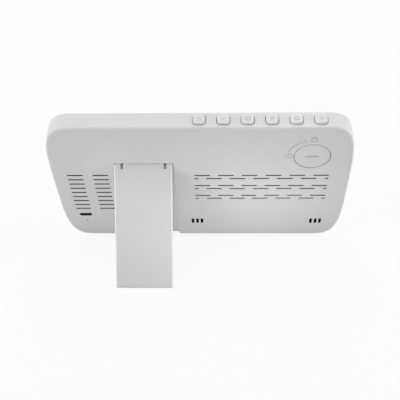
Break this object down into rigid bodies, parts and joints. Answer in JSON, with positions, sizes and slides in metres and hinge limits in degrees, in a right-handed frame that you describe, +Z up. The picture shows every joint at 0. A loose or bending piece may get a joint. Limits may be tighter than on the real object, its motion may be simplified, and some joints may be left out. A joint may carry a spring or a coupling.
{
  "type": "wireless charger digital clock",
  "caption": "Slim desk clock with soft corners, a display half, a wireless phone charging half with a ledge, top push buttons and a fold-out plate stand.",
  "frame": {"origin": "on the table, under the middle of the clock's box with the stand open", "axes": "+Z up, the display and the charging face look along -Y, the stand opens towards +Y, +X to the right seen from the front"},
  "size_m": [0.208, 0.0934, 0.1192],
  "materials": {
    "housing_plastic": "fine matte texture, white",
    "button_plastic": "smooth matte, white",
    "lens_plastic": "polished, smoked",
    "lcd_glass": "polished",
    "diffuser_plastic": "diffusing, white",
    "board": "solder mask, green",
    "ribbon": "film, amber",
    "black_plastic": "moulded, black",
    "lead_insulation": "smooth, red",
    "copper": "enamelled copper wire",
    "ferrite": "sintered, dark grey",
    "grey_rubber": "silicone, light grey",
    "steel": "plated",
    "brass": "spring strip"
  },
  "bodies": {
    "clock_body": {"rear_cover": "housing_plastic", "front_panel": "housing_plastic", "display_lens": "lens_plastic", "lcd_panel": "lcd_glass", "backlight": "diffuser_plastic", "main_board": "board", "power_board": "board", "key_board": "board", "key_ribbon": "ribbon", "buzzer": "black_plastic", "temperature_sensor": "black_plastic", "usb_shell": "steel", "usb_tongue": "black_plastic", "reset_switch": "black_plastic", "power_lead": "lead_insulation", "charging_coil": "copper", "ferrite_sheet": "ferrite", "coil_carrier": "housing_plastic", "coil_lead": "copper", "charging_pad": "grey_rubber", "phone_ledge": "housing_plastic", "ledge_pad": "grey_rubber", "battery_holder": "black_plastic", "battery_positive_contact": "brass", "battery_negative_contact": "brass", "coin_cell": "steel", "foot_left": "grey_rubber", "foot_right": "grey_rubber", "key_switch_1": "black_plastic", "key_switch_2": "black_plastic", "key_switch_3": "black_plastic", "key_switch_4": "black_plastic", "key_switch_5": "black_plastic", "key_switch_6": "black_plastic", "main_board_screw_1": "steel", "main_board_screw_2": "steel", "main_board_screw_3": "steel", "main_board_screw_4": "steel", "power_board_screw_1": "steel", "power_board_screw_2": "steel", "coil_screw_1": "steel", "coil_screw_2": "steel", "coil_screw_3": "steel", "coil_screw_4": "steel", "holder_screw_1": "steel", "holder_screw_2": "steel", "key_board_screw_1": "steel", "key_board_screw_2": "steel", "ledge_screw_1": "steel", "ledge_screw_2": "steel"},
    "stand": {"stand_panel": "housing_plastic", "stand_foot": "grey_rubber"},
    "battery_door": {"battery_door": "housing_plastic"},
    "button_1": {"button_1": "button_plastic"},
    "button_2": {"button_2": "button_plastic"},
    "button_3": {"button_3": "button_plastic"},
    "button_4": {"button_4": "button_plastic"},
    "button_5": {"button_5": "button_plastic"},
    "button_6": {"button_6": "button_plastic"}
  },
  "joints": [
    {"name": "stand_fold", "type": "hinge", "parent": "clock_body", "child": "stand", "pos_m": [0.03875, 0.01212, 0.07935], "axis": [-1, 0, 0], "range_deg": [0, 48.5]},
    {"name": "battery_door_twist", "type": "hinge", "parent": "clock_body", "child": "battery_door", "pos_m": [-0.076, 0.01715, 0.08706], "axis": [0, 0.9018, -0.4321], "range_deg": [0, 90]},
    {"name": "button_1_press", "type": "slide", "parent": "clock_body", "child": "button_1", "axis": [0, -0.4321, -0.9018], "range_m": [0, 0.0005], "stiffness_N_per_m": 600, "springref_m": -0.0008},
    {"name": "button_2_press", "type": "slide", "parent": "clock_body", "child": "button_2", "axis": [0, -0.4321, -0.9018], "range_m": [0, 0.0005], "stiffness_N_per_m": 600, "springref_m": -0.0008},
    {"name": "button_3_press", "type": "slide", "parent": "clock_body", "child": "button_3", "axis": [0, -0.4321, -0.9018], "range_m": [0, 0.0005], "stiffness_N_per_m": 600, "springref_m": -0.0008},
    {"name": "button_4_press", "type": "slide", "parent": "clock_body", "child": "button_4", "axis": [0, -0.4321, -0.9018], "range_m": [0, 0.0005], "stiffness_N_per_m": 600, "springref_m": -0.0008},
    {"name": "button_5_press", "type": "slide", "parent": "clock_body", "child": "button_5", "axis": [0, -0.4321, -0.9018], "range_m": [0, 0.0005], "stiffness_N_per_m": 600, "springref_m": -0.0008},
    {"name": "button_6_press", "type": "slide", "parent": "clock_body", "child": "button_6", "axis": [0, -0.4321, -0.9018], "range_m": [0, 0.0005], "stiffness_N_per_m": 600, "springref_m": -0.0008}
  ]
}
